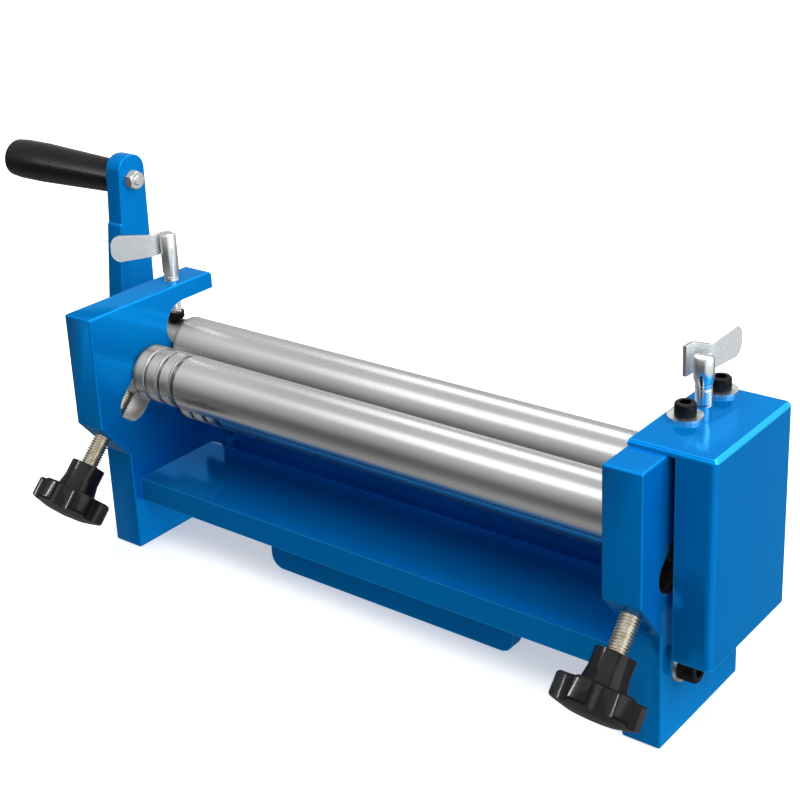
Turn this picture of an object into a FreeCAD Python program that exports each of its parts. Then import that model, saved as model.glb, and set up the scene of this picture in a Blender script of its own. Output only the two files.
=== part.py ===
import FreeCAD, Part
import math
import os

import Sketcher

# Hand-cranked slip roll machine, in millimetres.  X runs along the rollers towards the gear end,
# Y runs to the rear and Z up.  The origin lies on the floor, under the middle of the centre foot.
# In the side view, depths run back from the frames' front faces and heights up from the floor.

DIMENSIONS = {
    # clearances
    "seat_clearance": 0.02,
    "running_clearance": 0.08,
    "slide_clearance": 0.3,
    # side frames
    "origin_depth": 50,
    "frame_gap": 320,
    "frame_thick": 20,
    "chin_height": 82,
    "throat_height": 59.5,
    "leg_setback": 18.5,
    "arm_thick": 9.9,
    "notch_height": 27.9,
    "notch_drop": 0.8,
    "notch_reach": 16.5,
    "cradle_lift": 1,
    "frame_round": 1.2,
    "arm_end_round": 3,
    # rollers
    "roller_radius": 15.5,
    "roller_depth": 72.5,
    "frame_rear_margin": 22.8,
    "drive_height": 78.5,
    "nip_gap": 0.5,
    "bend_gap": 1.65,
    "bend_fall": 11.5,
    "roller_end_gap": 1,
    "roller_chamfer": 0.8,
    "groove_first": 10.5,
    "groove_pitch": 10.25,
    "groove_fine_radius": 1.5,
    "groove_medium_radius": 1.8,
    "groove_coarse_radius": 2.3,
    "journal_radius": 9.5,
    "journal_recess": 6,
    "bush_radius": 12.5,
    "bush_proud": 1.2,
    "bush_chamfer": 0.6,
    # bending roller's blocks and adjusting screws
    "adjust_angle": 45,
    "slot_half": 10,
    "block_low": 16,
    "block_recess": 0.5,
    "travel_down": 12,
    "travel_up": 1.5,
    "slot_spare": 3,
    "bend_journal_radius": 7,
    "adjuster_radius": 5,
    "adjuster_entry": 6,
    "adjuster_reach": 62.7,
    # star knobs
    "knob_hub_radius": 9.75,
    "knob_root_radius": 11.2,
    "knob_root_length": 7,
    "knob_hub_length": 16,
    "knob_radius": 21,
    "knob_thick": 14.5,
    "knob_dome": 3.3,
    "knob_lobes": 6,
    "knob_scallop_radius": 9,
    "knob_scallop_depth": 4,
    "knob_round": 1.5,
    "knob_bore_depth": 24,
    # clamps
    "clamp_radius": 4,
    "clamp_pad_radius": 5.4,
    "clamp_pad_thick": 4,
    "clamp_pad_gap": 0.9,
    "clamp_entry": 2.5,
    "crank_handle_height": 27.5,
    "gear_handle_height": 16.2,
    "handle_cone": 5.5,
    "crank_handle_radius": 5.4,
    "gear_handle_radius": 6.5,
    "crank_handle_rise": 0.5,
    "gear_handle_rise": 8,
    "handle_bore_depth": 12,
    "handle_reach": 32.7,
    "handle_root": 11,
    "handle_tip": 16,
    "handle_plate": 3,
    "crank_blade_middle": 20.5,
    "gear_blade_middle": 10.2,
    "crank_handle_angle": -131.3,
    "gear_handle_angle": 83,
    # tie bar and centre foot
    "tie_bottom": 28.7,
    "tie_thick": 13.7,
    "tie_front": 24.4,
    "tie_rear_gap": 3.1,
    "foot_width": 163,
    "foot_thick": 8,
    "foot_round": 8,
    "tie_bolt_radius": 4,
    "tie_bolt_inset": 12.9,
    "tie_bolt_length": 40,
    "tie_washer_radius": 8,
    "tie_washer_thick": 1.6,
    # feed table
    "table_nip_drop": 3.25,
    "table_sheet": 3,
    "table_depth": 24.7,
    "table_inset": 2,
    "table_round": 19,
    "table_ear_drop": 29,
    "table_web_drop": 58,
    "table_web_lap": 2.4,
    "table_bend": 4,
    "table_screw_drop": 16,
    "table_screw_wall": 1.3,
    # gears
    "gear_teeth": 21,
    "gear_width": 11,
    "gear_gap": 0.5,
    "gear_backlash": 0.2,
    "gear_pressure": 20,
    "gear_seat_radius": 8,
    "key_side": 5,
    "key_length": 9,
    "gear_washer_radius": 11,
    "gear_washer_thick": 1.5,
    # gear cover
    "cover_sheet": 2.5,
    "cover_front": 21.8,
    "cover_overhang": 2.2,
    "cover_clearance": 2.6,
    "cover_lip": 3.5,
    "cover_bottom": 47,
    "cover_bend": 3.5,
    "cover_screw_spread": 17,
    "cover_screw_length": 11,
    # M6 screws with socket heads, and their washers
    "small_screw_radius": 3,
    "small_head_radius": 5,
    "small_head_height": 6,
    "large_washer_radius": 8.2,
    "large_washer_thick": 1.6,
    # M8 screws with socket heads
    "tie_head_radius": 6.5,
    "tie_head_height": 8,
    "screw_chamfer": 0.7,
    # crank
    "crank_standoff": 23.5,
    "crank_thick": 11,
    "crank_reach": 122,
    "crank_lean": -3.5,
    "crank_tip_half": 9.75,
    "crank_tip_rise": 14.5,
    "crank_hub_half": 16,
    "crank_hub_drop": 21,
    "crank_hub_chamfer": 7,
    "crank_step": 1,
    "crank_step_drop": 25,
    "crank_edge": 1.2,
    "neck_radius": 8.5,
    "crank_seat_radius": 6,
    "crank_key_side": 4,
    "crank_key_length": 9,
    "end_hole_depth": 16,
    "crank_washer_radius": 8,
    "crank_washer_thick": 1.5,
    # grip
    "grip_length": 91,
    "grip_neck_radius": 9.6,
    "grip_belly_radius": 11.9,
    "grip_end_radius": 11.3,
    "grip_end_round": 2,
    "grip_recess_radius": 6,
    "grip_recess_depth": 9,
    "grip_gap": 0.4,
    "nut_radius": 5.8,
    "nut_thick": 5,
}

document = FreeCAD.newDocument("slip_roll")
sheet = document.addObject("Spreadsheet::Sheet", "dims")
for row, (alias, value) in enumerate(DIMENSIONS.items(), start=1):
    sheet.set(f"A{row}", alias)
    sheet.set(f"B{row}", str(value))
    sheet.setAlias(f"B{row}", alias)
document.recompute()

# Places that several pieces share, as expressions on the sheet.
INNER = "(dims.frame_gap / 2)"
OUTER = "(dims.frame_gap / 2 + dims.frame_thick)"
FRAME_MIDDLE = "(dims.frame_gap / 2 + dims.frame_thick / 2)"
ROLLER_Y = "(dims.roller_depth - dims.origin_depth)"
UPPER_HEIGHT = "(dims.drive_height + 2 * dims.roller_radius + dims.nip_gap)"
BEND_REACH = "(2 * dims.roller_radius + dims.bend_gap)"
BEND_DEPTH = f"(dims.roller_depth - {BEND_REACH} * cos(dims.bend_fall))"
BEND_HEIGHT = f"({UPPER_HEIGHT} - {BEND_REACH} * sin(dims.bend_fall))"
NOTCH_FLOOR = f"({UPPER_HEIGHT} - dims.notch_drop)"
NOTCH_TOP = f"({NOTCH_FLOOR} + dims.notch_height)"
FRAME_TOP = f"({NOTCH_TOP} + dims.arm_thick)"
COVER_TOP = f"({FRAME_TOP} + dims.cover_sheet)"
GEAR_START = f"({OUTER} + dims.bush_proud + dims.gear_gap)"
GEAR_END = f"({GEAR_START} + dims.gear_width)"
CRANK_INNER = f"({OUTER} + dims.crank_standoff)"
CRANK_OUTER = f"({CRANK_INNER} + dims.crank_thick)"
FRAME_DEPTH = "(dims.roller_depth + dims.frame_rear_margin)"
TIE_REAR = f"({FRAME_DEPTH} - dims.tie_rear_gap)"
TIE_BOLT_FRONT = "(dims.tie_front + dims.tie_bolt_inset)"
TIE_BOLT_REAR = f"({TIE_REAR} - dims.tie_bolt_inset)"
TABLE_HEIGHT = "(dims.drive_height + dims.roller_radius + dims.nip_gap / 2 - dims.table_nip_drop)"
TABLE_REAR = f"({FRAME_DEPTH} + dims.table_depth)"
TABLE_EAR_BOTTOM = f"({TABLE_HEIGHT} - dims.table_ear_drop)"
TABLE_WEB_BOTTOM = f"({TABLE_HEIGHT} - dims.table_web_drop)"
TABLE_SCREW_HEIGHT = f"({TABLE_HEIGHT} - dims.table_screw_drop)"
TABLE_SCREW_DEPTH = "(dims.frame_rear_margin - dims.bush_radius - dims.table_screw_wall)"
COVER_REAR = f"({FRAME_DEPTH} + dims.cover_overhang)"
LOW_HEAD_HEIGHT = "(dims.small_head_height / 2)"
TIE_MIDDLE = "(dims.tie_bottom + dims.tie_thick / 2)"
TIE_TOP = "(dims.tie_bottom + dims.tie_thick)"

SIDES = (("crank", -1), ("gear", 1))
# how near an edge lies to the place where it is looked for
MATCH = 0.01
subparts = []


def number(expression):
    """Present value of an expression on the sheet."""
    return float(sheet.evalExpression(expression))


def new_body(label):
    body = document.addObject("PartDesign::Body", label)
    body.Label = label
    subparts.append(body)
    return body


def place(piece, x, y, z, turn="rotation(vector(0; 0; 1); 0)"):
    piece.setExpression("Placement", f"placement(vector({x}; {y}; {z}); {turn})")


def along_x(side):
    """Turn that lays a piece's own Z along the machine's +X or -X."""
    return f"rotation(vector(0; 1; 0); {90 * side})"


def new_sketch(body, name, role, offset=None):
    sketch = body.newObject("Sketcher::SketchObject", name)
    plane = next(item for item in body.Origin.OriginFeatures if item.Role == role)
    sketch.AttachmentSupport = (plane, [""])
    sketch.MapMode = "FlatFace"
    if offset is not None:
        sketch.setExpression("AttachmentOffset", f"placement({offset})")
    return sketch


def bind(sketch, kind, *reference, to):
    """One dimension of a sketch, bound to an expression on the sheet."""
    index = sketch.addConstraint(Sketcher.Constraint(kind, *reference, number(to)))
    sketch.setExpression(f"Constraints[{index}]", to)


def polygon(sketch, corners):
    """Closed outline of straight edges through corners given as pairs of expressions."""
    points = [FreeCAD.Vector(number(x), number(y), 0) for x, y in corners]
    first = sketch.GeometryCount
    count = len(points)
    for step in range(count):
        sketch.addGeometry(Part.LineSegment(points[step], points[(step + 1) % count]))
    for step in range(count):
        following = (step + 1) % count
        sketch.addConstraint(Sketcher.Constraint("Coincident", first + step, 2, first + following, 1))
    for step, (x, y) in enumerate(corners):
        bind(sketch, "DistanceX", first + step, 1, to=x)
        bind(sketch, "DistanceY", first + step, 1, to=y)


def circle(sketch, x, y, radius):
    centre = FreeCAD.Vector(number(x), number(y), 0)
    index = sketch.addGeometry(Part.Circle(centre, FreeCAD.Vector(0, 0, 1), number(radius)))
    bind(sketch, "DistanceX", index, 3, to=x)
    bind(sketch, "DistanceY", index, 3, to=y)
    bind(sketch, "Radius", index, to=radius)


def round_ended(sketch, start, end, radius):
    """Long outline with half-round ends about two centres."""
    centres = [FreeCAD.Vector(number(x), number(y), 0) for x, y in (start, end)]
    heading = math.atan2(centres[1].y - centres[0].y, centres[1].x - centres[0].x)
    arcs = []
    for centre, first_angle in zip(centres, (heading + math.pi / 2, heading - math.pi / 2)):
        whole = Part.Circle(centre, FreeCAD.Vector(0, 0, 1), number(radius))
        arcs.append(Part.ArcOfCircle(whole, first_angle, first_angle + math.pi))
    start_arc = sketch.addGeometry(arcs[0])
    end_arc = sketch.addGeometry(arcs[1])
    lower = sketch.addGeometry(Part.LineSegment(arcs[0].EndPoint, arcs[1].StartPoint))
    upper = sketch.addGeometry(Part.LineSegment(arcs[1].EndPoint, arcs[0].StartPoint))
    for before, after in ((start_arc, lower), (lower, end_arc), (end_arc, upper), (upper, start_arc)):
        sketch.addConstraint(Sketcher.Constraint("Tangent", before, 2, after, 1))
    sketch.addConstraint(Sketcher.Constraint("Equal", start_arc, end_arc))
    bind(sketch, "Radius", start_arc, to=radius)
    for arc, (x, y) in ((start_arc, start), (end_arc, end)):
        bind(sketch, "DistanceX", arc, 3, to=x)
        bind(sketch, "DistanceY", arc, 3, to=y)


def pad(body, sketch, length, symmetric=False, backwards=False):
    feature = body.newObject("PartDesign::Pad", sketch.Name + "_pad")
    feature.Profile = sketch
    feature.setExpression("Length", length)
    feature.SideType = "Symmetric" if symmetric else "One side"
    feature.Reversed = backwards
    document.recompute()
    return feature


def pocket(body, sketch, length=None, symmetric=False, backwards=False):
    """Cuts to a length, or through everything; it has to take material away."""
    before = body.Shape.Volume
    feature = body.newObject("PartDesign::Pocket", sketch.Name + "_pocket")
    feature.Profile = sketch
    feature.SideType = "Symmetric" if symmetric else "One side"
    feature.Reversed = backwards
    if length is None:
        feature.Type = "ThroughAll"
    else:
        feature.setExpression("Length", length)
    document.recompute()
    if not feature.Shape.Volume < before:
        raise RuntimeError(f"{sketch.Name} cuts nothing from {body.Label}")
    return feature


def turn_about_axis(body, sketch, kind="PartDesign::Revolution"):
    feature = body.newObject(kind, sketch.Name + "_turned")
    feature.Profile = sketch
    feature.ReferenceAxis = (sketch, ["V_Axis"])
    feature.Angle = 360
    document.recompute()
    return feature


def turned(label, profile):
    """Body turned about its own Z from (radius, height) corners."""
    body = new_body(label)
    sketch = new_sketch(body, label + "_profile", "XZ_Plane")
    polygon(sketch, profile)
    turn_about_axis(body, sketch)
    return body


def edges_along(body, direction, places):
    """Names of the straight edges along one axis through places given by the other two axes."""
    kept = [axis for axis in range(3) if axis != "XYZ".index(direction)]
    names = []
    for index, edge in enumerate(body.Shape.Edges, start=1):
        ends = [vertex.Point for vertex in edge.Vertexes]
        for place_in_section in places:
            gaps = [abs(end[axis] - place_in_section[step]) for end in ends for step, axis in enumerate(kept)]
            if len(ends) == 2 and max(gaps) < MATCH:
                names.append(f"Edge{index}")
    return names


def soften(body, kind, names, size):
    """Fillet or chamfer on named edges of the body so far."""
    base = body.Tip
    feature = body.newObject(f"PartDesign::{kind}", f"{body.Name}_{kind.lower()}")
    feature.Base = (base, names)
    feature.setExpression("Radius" if kind == "Fillet" else "Size", size)
    document.recompute()
    return feature


def hole_in_end(body, name, radius, depth, end, facing):
    """Blind hole from an end at a height on the piece's own Z, into a piece that lies below or above."""
    sketch = new_sketch(body, name, "XY_Plane", f"vector(0; 0; {end}); rotation(vector(0; 0; 1); 0)")
    circle(sketch, "0", "0", radius)
    pocket(body, sketch, depth, backwards=facing < 0)


def socket_screw(label, head_radius, head_height, radius, length):
    """Cap screw whose head stands on its own Z = 0 and whose shank hangs below."""
    return turned(label, [
        ("0", f"-{length}"),
        (f"{radius} - dims.screw_chamfer", f"-{length}"),
        (radius, f"dims.screw_chamfer - {length}"),
        (radius, "0"),
        (head_radius, "0"),
        (head_radius, f"{head_height} - dims.screw_chamfer"),
        (f"{head_radius} - dims.screw_chamfer", head_height),
        ("0", head_height),
    ])


def washer(label, radius, bore, thick):
    return turned(label, [(bore, "0"), (radius, "0"), (radius, thick), (bore, thick)])


def side_frame(name, side):
    """Thick plate: front column with a chin, rear leg, top arm over an open notch for the upper bearing."""
    body = new_body(f"{name}_side_frame")
    outline = new_sketch(body, f"{name}_frame_outline", "YZ_Plane")
    polygon(outline, [
        ("0", FRAME_TOP),
        ("0", "dims.chin_height"),
        ("dims.leg_setback", "dims.throat_height"),
        ("dims.leg_setback", "0"),
        (FRAME_DEPTH, "0"),
        (FRAME_DEPTH, FRAME_TOP),
    ])
    pad(body, outline, "dims.frame_thick", symmetric=True)
    rear_top = (number(FRAME_DEPTH), number(FRAME_TOP))
    soften(body, "Fillet", edges_along(body, "X", [rear_top]), "dims.arm_end_round")
    edges = [f"Edge{index}" for index in range(1, len(body.Shape.Edges) + 1)]
    soften(body, "Fillet", edges, "dims.frame_round")

    notch = new_sketch(body, f"{name}_notch", "YZ_Plane")
    round_ended(
        notch,
        ("dims.roller_depth - dims.notch_reach + dims.notch_height / 2", f"{NOTCH_FLOOR} + dims.notch_height / 2"),
        (f"{FRAME_DEPTH} + dims.notch_height", f"{NOTCH_FLOOR} + dims.notch_height / 2"),
        "dims.notch_height / 2",
    )
    pocket(body, notch, symmetric=True)
    cradle = new_sketch(body, f"{name}_cradle", "YZ_Plane")
    round_ended(
        cradle,
        ("dims.roller_depth", UPPER_HEIGHT),
        ("dims.roller_depth", f"{UPPER_HEIGHT} + dims.cradle_lift"),
        "dims.bush_radius + dims.running_clearance",
    )
    pocket(body, cradle, symmetric=True)
    seat = new_sketch(body, f"{name}_bore", "YZ_Plane")
    circle(seat, "dims.roller_depth", "dims.drive_height", "dims.bush_radius + dims.seat_clearance")
    pocket(body, seat, symmetric=True)

    slot = new_sketch(body, f"{name}_adjusting_slot", "YZ_Plane")
    ends = []
    for along in (
        "(dims.slot_half - dims.slide_clearance - dims.block_low - dims.travel_down - dims.slot_spare)",
        "(dims.travel_up + dims.slide_clearance)",
    ):
        ends.append((
            f"{BEND_DEPTH} + {along} * cos(dims.adjust_angle)",
            f"{BEND_HEIGHT} + {along} * sin(dims.adjust_angle)",
        ))
    round_ended(slot, ends[0], ends[1], "dims.slot_half")
    pocket(body, slot, symmetric=True)

    thread = new_sketch(
        body, f"{name}_adjuster_thread", "XY_Plane",
        f"vector(0; {BEND_DEPTH}; {BEND_HEIGHT}); rotation(vector(1; 0; 0); dims.adjust_angle - 90)",
    )
    circle(thread, "0", "0", "dims.adjuster_radius + dims.running_clearance")
    pocket(body, thread)
    stem = new_sketch(
        body, f"{name}_clamp_thread", "XY_Plane",
        f"vector(0; 0; {NOTCH_TOP} - dims.notch_height / 4); rotation(vector(0; 0; 1); 0)",
    )
    circle(stem, "0", "dims.roller_depth", "dims.clamp_radius + dims.running_clearance")
    pocket(body, stem, backwards=True)

    bolts = new_sketch(body, f"{name}_tie_bolt_holes", "YZ_Plane")
    for depth in (TIE_BOLT_FRONT, TIE_BOLT_REAR):
        circle(bolts, depth, TIE_MIDDLE, "dims.tie_bolt_radius + dims.slide_clearance")
    pocket(body, bolts, symmetric=True)
    screw = new_sketch(
        body, f"{name}_table_screw_hole", "XZ_Plane",
        f"vector(0; 0; -{FRAME_DEPTH}); rotation(vector(0; 0; 1); 0)",
    )
    circle(screw, "0", TABLE_SCREW_HEIGHT, "dims.small_screw_radius + dims.seat_clearance")
    pocket(body, screw, TABLE_SCREW_DEPTH, backwards=True)
    if side > 0:
        cover_holes = new_sketch(
            body, f"{name}_cover_screw_holes", "XY_Plane",
            f"vector(0; 0; {FRAME_TOP}); rotation(vector(0; 0; 1); 0)",
        )
        for spread in ("- dims.cover_screw_spread", "+ dims.cover_screw_spread"):
            depth = f"dims.roller_depth {spread}"
            circle(cover_holes, "0", depth, "dims.small_screw_radius + dims.seat_clearance")
        pocket(body, cover_holes, "dims.cover_screw_length")
    place(body, f"{side} * {FRAME_MIDDLE}", "-dims.origin_depth", "0")


def tie_bar():
    """Thick bar between the frames, with its upper rear edge rounded off; bolts enter both ends."""
    body = new_body("tie_bar")
    outline = new_sketch(body, "tie_outline", "YZ_Plane")
    polygon(outline, [
        ("dims.tie_front", "dims.tie_bottom"),
        (TIE_REAR, "dims.tie_bottom"),
        (TIE_REAR, TIE_TOP),
        ("dims.tie_front", TIE_TOP),
    ])
    pad(body, outline, "dims.frame_gap", symmetric=True)
    rear_top = (number(TIE_REAR), number(TIE_TOP))
    soften(body, "Fillet", edges_along(body, "X", [rear_top]), "dims.tie_thick - dims.frame_round")
    for name, side in SIDES:
        holes = new_sketch(
            body, f"tie_{name}_holes", "YZ_Plane",
            f"vector(0; 0; {side} * {INNER}); rotation(vector(0; 0; 1); 0)",
        )
        for depth in (TIE_BOLT_FRONT, TIE_BOLT_REAR):
            circle(holes, depth, TIE_MIDDLE, "dims.tie_bolt_radius + dims.seat_clearance")
        pocket(body, holes, "dims.tie_bolt_length", backwards=side < 0)
    place(body, "0", "-dims.origin_depth", "0")


def centre_foot():
    """Upright plate welded under the tie bar; it stands on the bench or is held in a vice."""
    body = new_body("centre_foot")
    outline = new_sketch(body, "foot_outline", "XZ_Plane")
    half = "dims.foot_width / 2"
    polygon(outline, [
        (f"-{half}", "0"),
        (half, "0"),
        (half, "dims.tie_bottom"),
        (f"-{half}", "dims.tie_bottom"),
    ])
    pad(body, outline, "dims.foot_thick", symmetric=True)
    lower_corners = [(side * number(half), 0) for _, side in SIDES]
    soften(body, "Fillet", edges_along(body, "Y", lower_corners), "dims.foot_round")
    place(body, "0", "0", "0")


def tie_bolts():
    """Socket cap screws and washers that draw each frame against the ends of the tie bar."""
    for name, side in SIDES:
        for row, depth in (("front", TIE_BOLT_FRONT), ("rear", TIE_BOLT_REAR)):
            y = f"{depth} - dims.origin_depth"
            bolt = socket_screw(
                f"tie_bolt_{name}_{row}", "dims.tie_head_radius", "dims.tie_head_height",
                "dims.tie_bolt_radius",
                "(dims.tie_bolt_length + dims.frame_thick - dims.screw_chamfer)",
            )
            place(bolt, f"{side} * ({OUTER} + dims.tie_washer_thick)", y, TIE_MIDDLE, along_x(side))
            ring = washer(
                f"tie_washer_{name}_{row}", "dims.tie_washer_radius",
                "dims.tie_bolt_radius + dims.slide_clearance", "dims.tie_washer_thick",
            )
            place(ring, f"{side} * {OUTER}", y, TIE_MIDDLE, along_x(side))


def feed_table():
    """Bent sheet behind the rollers: a flat shelf and a web with an ear over each frame's rear face."""
    body = new_body("feed_table")
    half = f"({OUTER} - dims.table_inset)"
    web_half = f"({INNER} + dims.table_web_lap)"
    web = new_sketch(
        body, "table_web", "XZ_Plane",
        f"vector(0; 0; -{FRAME_DEPTH}); rotation(vector(0; 0; 1); 0)",
    )
    polygon(web, [
        (f"-{web_half}", TABLE_WEB_BOTTOM),
        (web_half, TABLE_WEB_BOTTOM),
        (web_half, TABLE_EAR_BOTTOM),
        (half, TABLE_EAR_BOTTOM),
        (half, TABLE_HEIGHT),
        (f"-{half}", TABLE_HEIGHT),
        (f"-{half}", TABLE_EAR_BOTTOM),
        (f"-{web_half}", TABLE_EAR_BOTTOM),
    ])
    pad(body, web, "dims.table_sheet", backwards=True)
    top = new_sketch(
        body, "table_top", "XY_Plane",
        f"vector(0; 0; {TABLE_HEIGHT}); rotation(vector(0; 0; 1); 0)",
    )
    polygon(top, [
        (f"-{half}", FRAME_DEPTH),
        (half, FRAME_DEPTH),
        (half, TABLE_REAR),
        (f"-{half}", TABLE_REAR),
    ])
    pad(body, top, "dims.table_sheet", backwards=True)
    rear_corners = [(side * number(half), number(TABLE_REAR)) for _, side in SIDES]
    soften(body, "Fillet", edges_along(body, "Z", rear_corners), "dims.table_round")
    bend = (number(FRAME_DEPTH), number(TABLE_HEIGHT))
    soften(body, "Fillet", edges_along(body, "X", [bend]), "dims.table_bend")
    inner_bend = (number(f"{FRAME_DEPTH} + dims.table_sheet"), number(f"{TABLE_HEIGHT} - dims.table_sheet"))
    soften(body, "Fillet", edges_along(body, "X", [inner_bend]), "dims.table_bend - dims.table_sheet")
    holes = new_sketch(body, "table_screw_holes", "XZ_Plane")
    for _, side in SIDES:
        radius = "dims.small_screw_radius + dims.slide_clearance"
        circle(holes, f"{side} * {FRAME_MIDDLE}", TABLE_SCREW_HEIGHT, radius)
    pocket(body, holes, symmetric=True)
    place(body, "0", "-dims.origin_depth", "0")
    for name, side in SIDES:
        screw = socket_screw(
            f"table_screw_{name}", "dims.small_head_radius", "dims.small_head_height",
            "dims.small_screw_radius",
            f"({TABLE_SCREW_DEPTH} + dims.table_sheet - dims.screw_chamfer)",
        )
        place(
            screw, f"{side} * {FRAME_MIDDLE}",
            f"{FRAME_DEPTH} + dims.table_sheet - dims.origin_depth", TABLE_SCREW_HEIGHT,
            "rotation(vector(1; 0; 0); -90)",
        )


def bearing_bushes():
    """Steel bushes: pressed into the frames for the drive roller, loose in the cradles for the upper one."""
    for level, height in (("drive", "dims.drive_height"), ("upper", UPPER_HEIGHT)):
        for name, side in SIDES:
            bore = "dims.journal_radius + dims.running_clearance"
            end = "(dims.frame_thick + dims.bush_proud)"
            body = turned(f"{level}_bush_{name}", [
                (bore, "0"),
                ("dims.bush_radius", "0"),
                ("dims.bush_radius", f"{end} - dims.bush_chamfer"),
                ("dims.bush_radius - dims.bush_chamfer", end),
                (f"{bore} + dims.bush_chamfer", end),
                (bore, f"{end} - dims.bush_chamfer"),
            ])
            place(body, f"{side} * {INNER}", ROLLER_Y, height, along_x(side))


def roller_core(label, crank_steps, gear_steps):
    """Steel roller along its own Z; the steps are (radius, distance from the middle) of its two ends."""
    end = f"({INNER} - dims.roller_end_gap)"
    profile = [("0", f"-{crank_steps[-1][1]}")]
    for step in range(len(crank_steps) - 1, -1, -1):
        radius, distance = crank_steps[step]
        inner_end = crank_steps[step - 1][1] if step else end
        profile += [(radius, f"-{distance}"), (radius, f"-{inner_end}")]
    profile += [
        ("dims.roller_radius - dims.roller_chamfer", f"-{end}"),
        ("dims.roller_radius", f"dims.roller_chamfer - {end}"),
        ("dims.roller_radius", f"{end} - dims.roller_chamfer"),
        ("dims.roller_radius - dims.roller_chamfer", end),
    ]
    inner_end = end
    for radius, distance in gear_steps:
        profile += [(radius, inner_end), (radius, distance)]
        inner_end = distance
    profile.append(("0", gear_steps[-1][1]))
    return turned(label, profile)


def wire_grooves(body):
    """Three round grooves of growing size at the crank end, in which rod and wire are rolled."""
    before = body.Shape.Volume
    sketch = new_sketch(body, body.Name + "_grooves", "XZ_Plane")
    for step, radius in enumerate(("dims.groove_fine_radius", "dims.groove_medium_radius", "dims.groove_coarse_radius")):
        along = f"dims.groove_first + {step} * dims.groove_pitch - {INNER}"
        circle(sketch, "dims.roller_radius", along, radius)
    turn_about_axis(body, sketch, "PartDesign::Groove")
    if not body.Shape.Volume < before:
        raise RuntimeError(f"the wire grooves miss {body.Label}")


def keyway(body, name, radius, side_length, start, length):
    """Flat-bottomed slot for a square key, half its side deep, on the roller's +X generator."""
    middle = f"({start} + {length} / 2)"
    sketch = new_sketch(
        body, name, "YZ_Plane",
        f"vector(0; 0; {radius} - {side_length} / 2); rotation(vector(0; 0; 1); 0)",
    )
    half_width = f"({side_length} / 2 + dims.seat_clearance)"
    half_length = f"({length} / 2 + dims.seat_clearance)"
    polygon(sketch, [
        (f"-{half_width}", f"{middle} - {half_length}"),
        (half_width, f"{middle} - {half_length}"),
        (half_width, f"{middle} + {half_length}"),
        (f"-{half_width}", f"{middle} + {half_length}"),
    ])
    pocket(body, sketch, side_length, backwards=True)


def rollers():
    """Lower and upper feed rollers, and the bending roller in front of them."""
    journal_end = f"({OUTER} + dims.bush_proud + dims.gear_gap)"
    seat_end = f"({GEAR_END} - dims.slide_clearance)"
    gear_steps = [("dims.journal_radius", journal_end), ("dims.gear_seat_radius", seat_end)]
    crank_end = f"({CRANK_OUTER} - dims.slide_clearance)"
    drive = roller_core(
        "drive_roller",
        [("dims.journal_radius", journal_end), ("dims.neck_radius", CRANK_INNER),
         ("dims.crank_seat_radius", crank_end)],
        gear_steps,
    )
    upper = roller_core(
        "upper_roller",
        [("dims.journal_radius", f"({OUTER} - dims.journal_recess)")],
        gear_steps,
    )
    journal = [("dims.bend_journal_radius", f"({OUTER} - dims.block_recess)")]
    bending = roller_core("bending_roller", journal, journal)
    wire_grooves(drive)
    wire_grooves(bending)
    key_start = f"({GEAR_START} + dims.gear_width / 2 - dims.key_length / 2)"
    for body in (drive, upper):
        keyway(body, f"{body.Name}_gear_keyway", "dims.gear_seat_radius", "dims.key_side",
               key_start, "dims.key_length")
        hole_in_end(body, f"{body.Name}_end_hole", "dims.small_screw_radius + dims.seat_clearance",
                    "dims.end_hole_depth", seat_end, 1)
    crank_key_start = f"(-{CRANK_INNER} - dims.crank_thick / 2 - dims.crank_key_length / 2)"
    keyway(drive, "drive_roller_crank_keyway", "dims.crank_seat_radius", "dims.crank_key_side",
           crank_key_start, "dims.crank_key_length")
    hole_in_end(drive, "drive_roller_crank_hole", "dims.small_screw_radius + dims.seat_clearance",
                "dims.end_hole_depth", f"-{crank_end}", -1)
    hole_in_end(upper, "upper_roller_centre_hole", "dims.small_screw_radius", "dims.small_screw_radius",
                f"-({OUTER} - dims.journal_recess)", -1)
    # a roller's own +X points down, so the keys lie under the shafts
    place(drive, "0", ROLLER_Y, "dims.drive_height", along_x(1))
    place(upper, "0", ROLLER_Y, UPPER_HEIGHT, along_x(1))
    place(bending, "0", f"{BEND_DEPTH} - dims.origin_depth", BEND_HEIGHT, along_x(1))


def square_key(label, side_length, length, x, height, seat_radius):
    """Parallel key, half in the shaft and half in the hub, under the shaft."""
    body = new_body(label)
    sketch = new_sketch(body, label + "_section", "YZ_Plane")
    half = f"{side_length} / 2"
    polygon(sketch, [(f"-{half}", f"-{half}"), (half, f"-{half}"), (half, half), (f"-{half}", half)])
    pad(body, sketch, length, symmetric=True)
    place(body, x, ROLLER_Y, f"{height} - {seat_radius}")


def gear_flank(angle_at_pitch, base_radius, pressure, radius):
    """Angle from the middle of a tooth to its involute flank at a radius."""
    roll = math.sqrt(max((radius / base_radius) ** 2 - 1, 0))
    return angle_at_pitch + (math.tan(pressure) - pressure) - (roll - math.atan(roll))


def on_circle(radius, angle):
    return FreeCAD.Vector(-radius * math.cos(angle), radius * math.sin(angle), 0)


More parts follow.
